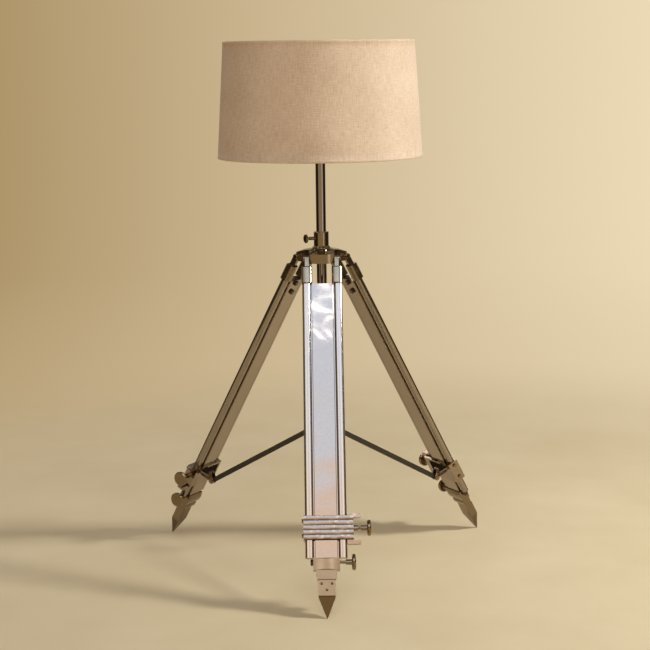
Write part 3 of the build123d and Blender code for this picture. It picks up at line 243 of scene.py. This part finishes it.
hem, roll, wall, margin = 0.006, 0.0007, 0.0020, 0.02
lap_width, lap_edge, lap_rise, seam = 0.014, 0.0005, 0.0006, np.pi / 2
cloth_rows, lining_rows, turns = 24, 8, 256
hem_climb = np.array([0, 0.0006, 0.002, hem - 0.0014, hem - 0.0004, hem])
hem_swell = np.array([-0.0011, -0.0002, roll, roll, 0.0004, 0]) - roll
cloth_run = np.linspace(bottom + margin, top - margin, cloth_rows)
heights = np.concatenate([bottom + hem_climb, cloth_run, top - hem_climb[::-1]])
offsets = np.concatenate([hem_swell, np.full(cloth_rows, -roll), hem_swell[::-1]])
outside = np.stack([shade_radius(heights) + offsets, heights], -1)
lining_run = np.linspace(top - margin, bottom + margin, lining_rows)
heights = np.concatenate([top - hem_climb, lining_run, bottom + hem_climb[::-1]])
inside = np.stack([shade_radius(heights) - wall, heights], -1)
profile = np.concatenate([outside, inside])
lap_end, cloth_end = lap_width / foot_radius, 2 * np.pi - lap_edge / foot_radius
angle = np.append(0, np.linspace(lap_end, cloth_end, turns - 1)) + seam
radius = np.tile(profile[:, 0], (turns, 1))
radius[0, :len(outside)] += lap_rise
points, faces, corners, step = turned(radius, profile[:, 1], angle)
lined = (step >= len(outside)) & (step < len(profile) - 1)
shade_mesh = smooth_mesh("shade_cloth", points, faces)
shade_mesh.uv_layers.new(name="cloth").data.foreach_set("uv", corners.astype(np.float32).ravel())
shade_mesh.polygons.foreach_set("material_index", lined.astype(np.int32))
shade_mesh.validate()
shade_cloth = put("shade_cloth", shade_mesh)

# Woven linen: flat threads of uneven thickness, so pale and dark slubs run both ways. Threads
# of 0.5 mm are too fine for the picture, so the slubs are drawn about 2 mm thick.
weft_mm, warp_mm, patch_mm = (20, 2.0), (2.2, 26), 120
linen, tree, shader = new_material("slub_linen")
shader.inputs["Roughness"].default_value = 0.92
shader.inputs["Sheen Weight"].default_value = 0.12
shader.inputs["Sheen Roughness"].default_value = 0.5
cloth = add_node(tree, "ShaderNodeUVMap", uv_map="cloth").outputs["UV"]
slubs = []
for across_mm, up_mm in (weft_mm, warp_mm):
    stretch = add_node(tree, "ShaderNodeMapping", {"Scale": (1000 / across_mm, 1000 / up_mm, 1)},
                       {"Vector": cloth})
    slub = add_node(tree, "ShaderNodeTexNoise", {"Scale": 1.0, "Detail": 3.0, "Roughness": 0.65},
                    {"Vector": stretch.outputs["Vector"]})
    slubs.append(slub.outputs["Fac"])
weave = add_node(tree, "ShaderNodeMath", links={0: slubs[0], 1: slubs[1]}, operation="ADD")
patch = add_node(tree, "ShaderNodeTexNoise", {"Scale": 1000 / patch_mm, "Detail": 2.0},
                 {"Vector": cloth})
level = add_node(tree, "ShaderNodeMath", {1: 0.5},
                 {0: patch.outputs["Fac"], 2: weave.outputs[0]}, operation="MULTIPLY_ADD")
ramp = add_node(tree, "ShaderNodeMapRange", {"From Min": 0.87, "From Max": 1.63},
                {"Value": level.outputs[0]})
tint = add_node(tree, "ShaderNodeMix", {"A": linear("#C8A988"), "B": linear("#EFD7B9")},
                {"Factor": ramp.outputs["Result"]}, data_type="RGBA")
tree.links.new(tint.outputs[2], shader.inputs["Base Color"])
bump = add_node(tree, "ShaderNodeBump", {"Strength": 0.6, "Distance": 0.0004},
                {"Height": weave.outputs[0]})
tree.links.new(bump.outputs["Normal"], shader.inputs["Normal"])

# Styrene lining: a smooth warm white sheet with a soft sheen, faintly mottled by the glue.
glue_mm = 35
lining, tree, shader = new_material("styrene_lining")
shader.inputs["Roughness"].default_value = 0.55
shader.inputs["IOR"].default_value = 1.55
place = add_node(tree, "ShaderNodeTexCoord").outputs["Object"]
glue = add_node(tree, "ShaderNodeTexNoise", {"Scale": 1000 / glue_mm, "Detail": 2.0},
                {"Vector": place})
tint = add_node(tree, "ShaderNodeMix", {"A": linear("#DCD2C0"), "B": linear("#ECE5D6")},
                {"Factor": glue.outputs["Fac"]}, data_type="RGBA")
tree.links.new(tint.outputs[2], shader.inputs["Base Color"])
shade_mesh.materials.append(linen)
shade_mesh.materials.append(lining)
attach(shade_cloth, "shade")
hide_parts("lamp_shade")

# Studio. A round floor that sweeps up into a low wall far behind the lamp and the camera, painted
# in a pale sand colour, matt, with a faint mottle. Far out, beyond the lights, the floor and wall
# glow with a painted colour that the camera and mirrors see in place of the lit paint. This is
# painted light: behind the lamp it is darker on the left and paler toward the right, on the key's
# side.
floor_middle, floor_radius, bend_radius, wall_top = 0.0005, 5.6, 0.9, 2.8
bend = np.linspace(0, np.pi / 2, 24)
run = np.concatenate([[floor_middle], floor_radius + bend_radius * np.sin(bend),
                      [floor_radius + bend_radius]])
rise = np.concatenate([[0], bend_radius - bend_radius * np.cos(bend), [wall_top]])
angle = np.linspace(0, 2 * np.pi, 128, endpoint=False)
points, faces = turned(np.tile(run, (len(angle), 1)), rise, angle, closed=False)[:2]
studio_mesh = smooth_mesh("studio_sweep", points, faces)
studio = put("studio_sweep", studio_mesh)
mottle_mm = 333
sand, tree, shader = new_material("sand_paint_and_painted_glow")
shader.inputs["Roughness"].default_value = 0.95
shader.inputs["Specular IOR Level"].default_value = 0.1
place = add_node(tree, "ShaderNodeTexCoord").outputs["Object"]
mottle = add_node(tree, "ShaderNodeTexNoise", {"Scale": 1000 / mottle_mm, "Detail": 4.0},
                  {"Vector": place})
tint = add_node(tree, "ShaderNodeMix", {"A": linear("#DFC596"), "B": linear("#F3DDB1")},
                {"Factor": mottle.outputs["Fac"]}, data_type="RGBA")
tree.links.new(tint.outputs[2], shader.inputs["Base Color"])
# Painted light: behind the lamp the glowing colour is darker on the left and paler toward the
# right.
spot = add_node(tree, "ShaderNodeSeparateXYZ", links={"Vector": place})
side = add_node(tree, "ShaderNodeMapRange", {"From Min": -5.5, "From Max": 5.5},
                {"Value": spot.outputs["X"]})
painted_side_light = add_node(tree, "ShaderNodeValToRGB", links={"Fac": side.outputs["Result"]})
painted_side_light.color_ramp.elements[0].color = linear("#D2BC93")
painted_side_light.color_ramp.elements[1].color = linear("#E6D3AE")
for position, colour in ((0.28, "#A58A5C"), (0.72, "#F0DEBB")):
    painted_side_light.color_ramp.elements.new(position).color = linear(colour)
behind = add_node(tree, "ShaderNodeMapRange", {"From Min": 0.4, "From Max": 1.8},
                  {"Value": spot.outputs["Y"]}, interpolation_type="SMOOTHSTEP")
painted_glow_colour = add_node(tree, "ShaderNodeMix", {"A": linear("#D2BC93")},
                 {"Factor": behind.outputs["Result"], "B": painted_side_light.outputs["Color"]},
                 data_type="RGBA")
far = add_node(tree, "ShaderNodeVectorMath", links={0: place}, operation="LENGTH")
fade = add_node(tree, "ShaderNodeMapRange", {"From Min": 0.9, "From Max": 2.9},
                {"Value": far.outputs["Value"]}, interpolation_type="SMOOTHSTEP")
path = add_node(tree, "ShaderNodeLightPath").outputs
seen = path["Is Camera Ray"]
for ray in ("Is Glossy Ray", "Is Transmission Ray"):
    seen = add_node(tree, "ShaderNodeMath", links={0: seen, 1: path[ray]},
                    operation="MAXIMUM").outputs[0]
share = add_node(tree, "ShaderNodeMath", links={0: fade.outputs["Result"], 1: seen},
                 operation="MULTIPLY")
# Painted glow: far out, camera and mirror rays see this colour shining on its own, not the lit
# floor.
painted_glow = add_node(tree, "ShaderNodeEmission", links={"Color": painted_glow_colour.outputs[2]})
surface = add_node(tree, "ShaderNodeMixShader",
                   links={0: share.outputs[0], 1: shader.outputs[0], 2: painted_glow.outputs[0]})
tree.links.new(surface.outputs[0], tree.nodes["Material Output"].inputs["Surface"])
studio_mesh.materials.append(sand)

# Flags. Two low upright brown cloths along both sides of the studio, which the camera and the light
# do not meet. They glow a patchy dark brown of their own and show only in reflections: a painted
# reflection that polished metal needs for its dark edges.
flag_front, flag_back, flag_height, glow_patch_mm = -2.3, 3.4, 1.15, 250
reflection_flag_glow, tree, shader = new_material("painted_reflection_flag")
shader.inputs["Base Color"].default_value = linear("#000000")
shader.inputs["Specular IOR Level"].default_value = 0.0
shader.inputs["Emission Strength"].default_value = 1.0
place = add_node(tree, "ShaderNodeTexCoord").outputs["Object"]
glow_patch = add_node(tree, "ShaderNodeTexNoise", {"Scale": 1000 / glow_patch_mm, "Detail": 2.0},
               {"Vector": place})
tint = add_node(tree, "ShaderNodeMix", {"A": linear("#2C2620"), "B": linear("#3C342C")},
                {"Factor": glow_patch.outputs["Fac"]}, data_type="RGBA")
# Painted reflection: the flag's dark brown is given as glow, not as lit cloth.
tree.links.new(tint.outputs[2], shader.inputs["Emission Color"])
for name, across in (("left_flag", -3.2), ("right_flag", 3.6)):
    flag_mesh = bpy.data.meshes.new(name)
    flag_mesh.from_pydata([(across, flag_front, 0.0), (across, flag_back, 0.0),
                           (across, flag_back, flag_height), (across, flag_front, flag_height)],
                          [], [(0, 1, 2, 3)])
    flag_mesh.materials.append(reflection_flag_glow)
    flag = put(name, flag_mesh)
    flag.visible_camera = flag.visible_diffuse = flag.visible_shadow = False


# Light. One soft key from the right and a little to the front, which throws the shadow, three
# small panes high in front between two tall windows, a narrow strip lamp to the right of the
# camera, a weak lamp behind, and a narrow spot on the shade from beside the camera.
def looking(position, target, roll=0.0):
    """Matrix of a camera or lamp at a position that looks along its -Z axis to a target, rolled
    about that axis: its right is the level direction square to the view, and its up is square to
    both."""
    position, target = np.array(position, float), np.array(target, float)
    forward = (target - position) / np.linalg.norm(target - position)
    right = np.cross(forward, (0, 0, 1))
    right /= np.linalg.norm(right)
    up = np.cross(right, forward)
    placed = np.eye(4)
    placed[:3, 0] = np.cos(roll) * right + np.sin(roll) * up
    placed[:3, 1] = np.cos(roll) * up - np.sin(roll) * right
    placed[:3, 2] = -forward
    placed[:3, 3] = position
    return Matrix(placed.tolist())


slide_middle, window_foot = (0, -0.1, 0.7), (0, -0.3, 0.4)
for name, shape, width, height, watts, colour, position, target in (
        ("key", "ELLIPSE", 0.6, 0.6, 89, "#F1F8FF", (2.92, -0.52, 2.5), (0, 0, 0.65)),
        ("upper_pane", "RECTANGLE", 0.11, 0.024, 0.06, "#F4F8FF", (0, -2.06, 2.91), slide_middle),
        ("middle_pane", "RECTANGLE", 0.06, 0.02, 0.03, "#F4F8FF", (0.04, -2.12, 2.855),
         slide_middle),
        ("lower_pane", "RECTANGLE", 0.04, 0.02, 0.018, "#F4F8FF", (-0.03, -2.16, 2.822),
         slide_middle),
        ("left_window", "RECTANGLE", 0.36, 1.6, 1.2, "#F4F6FF", (-0.37, -2.45, 2.45), window_foot),
        ("right_window", "RECTANGLE", 0.36, 1.6, 1.6, "#EEF4FF", (0.37, -2.45, 2.45), window_foot),
        ("strip", "RECTANGLE", 0.5, 1.7, 3.4, "#F6F8FF", (1.7, -2.48, 1.15), (0, 0, 1.0)),
        ("back", "RECTANGLE", 1.2, 1.2, 9, "#FFF6EA", (-1.6, 3.2, 2.8), (0, 0, 0.7))):
    lamp = bpy.data.lights.new(name, "AREA")
    lamp.shape = shape
    lamp.size, lamp.size_y = width, height
    lamp.energy = watts
    lamp.color = linear(colour)[:3]
    put(name, lamp).matrix_world = looking(position, target)
shade_spot = bpy.data.lights.new("shade_spot", "SPOT")
shade_spot.energy = 110
shade_spot.color = linear("#FFF6EA")[:3]
shade_spot.spot_size = np.radians(9.5)
shade_spot.spot_blend = 0.6
shade_spot.shadow_soft_size = 0.25
put("shade_spot", shade_spot).matrix_world = looking((0.2, -4.4, 1.7), (0, 0, 1.18))

# Dome of the studio, by the sine of the height above the horizon: dim and warm low down, a wide
# belt of daylight at 40 to 60 degrees, and a quiet ceiling. It is bright within 20 degrees of the
# front and falls off to both sides.
world = bpy.data.worlds.new("studio_dome")
bpy.context.scene.world = world
world.use_nodes = True
tree = world.node_tree
sky = tree.nodes["Background"]
direction = add_node(tree, "ShaderNodeTexCoord").outputs["Generated"]
height = add_node(tree, "ShaderNodeSeparateXYZ", links={"Vector": direction})
dome = add_node(tree, "ShaderNodeValToRGB", links={"Fac": height.outputs["Z"]})
dome.color_ramp.elements[0].color = linear("#5F5345")
dome.color_ramp.elements[1].color = linear("#5E6064")
for position, colour in ((0.20, "#473F37"), (0.42, "#6E604F"), (0.54, "#B3A494"),
                         (0.60, "#C5B2A1"), (0.642, "#D0C4BC"), (0.670, "#CFC4C0"),
                         (0.690, "#C5D2E8"), (0.78, "#BFD4F6"), (0.86, "#A9B8CC"),
                         (0.93, "#6A6C70")):
    dome.color_ramp.elements.new(position).color = linear(colour)
level = add_node(tree, "ShaderNodeVectorMath", {1: (1, 1, 0)}, {0: direction},
                 operation="MULTIPLY")
heading = add_node(tree, "ShaderNodeVectorMath", links={0: level.outputs["Vector"]},
                   operation="NORMALIZE")
facing = add_node(tree, "ShaderNodeSeparateXYZ", links={"Vector": heading.outputs["Vector"]})
front = add_node(tree, "ShaderNodeMapRange", {"From Min": -0.95, "From Max": -0.75,
                                              "To Min": 1.0, "To Max": 0.22},
                 {"Value": facing.outputs["Y"]})
share = add_node(tree, "ShaderNodeVectorMath", links={0: dome.outputs["Color"],
                                                      "Scale": front.outputs["Result"]},
                 operation="SCALE")
tree.links.new(share.outputs["Vector"], sky.inputs["Color"])
sky.inputs["Strength"].default_value = 2.8

# Camera. Where the photograph was taken from: four metres off, as high as the shade, with a long
# lens that looks down a little.
camera = bpy.data.cameras.new("camera")
camera.sensor_width = 36
camera.lens = 90.91
camera_object = put("camera", camera)
yaw, pitch, tilt = np.radians(0.381), np.radians(9.325), np.radians(-0.756)
stand = np.array((-0.02076, -4.07895, 1.2739))
view = np.array((np.sin(yaw) * np.cos(pitch), np.cos(yaw) * np.cos(pitch), -np.sin(pitch)))
camera_object.matrix_world = looking(stand, stand + view, tilt)
bpy.context.scene.camera = camera_object

bpy.context.scene.view_settings.view_transform = "Standard"
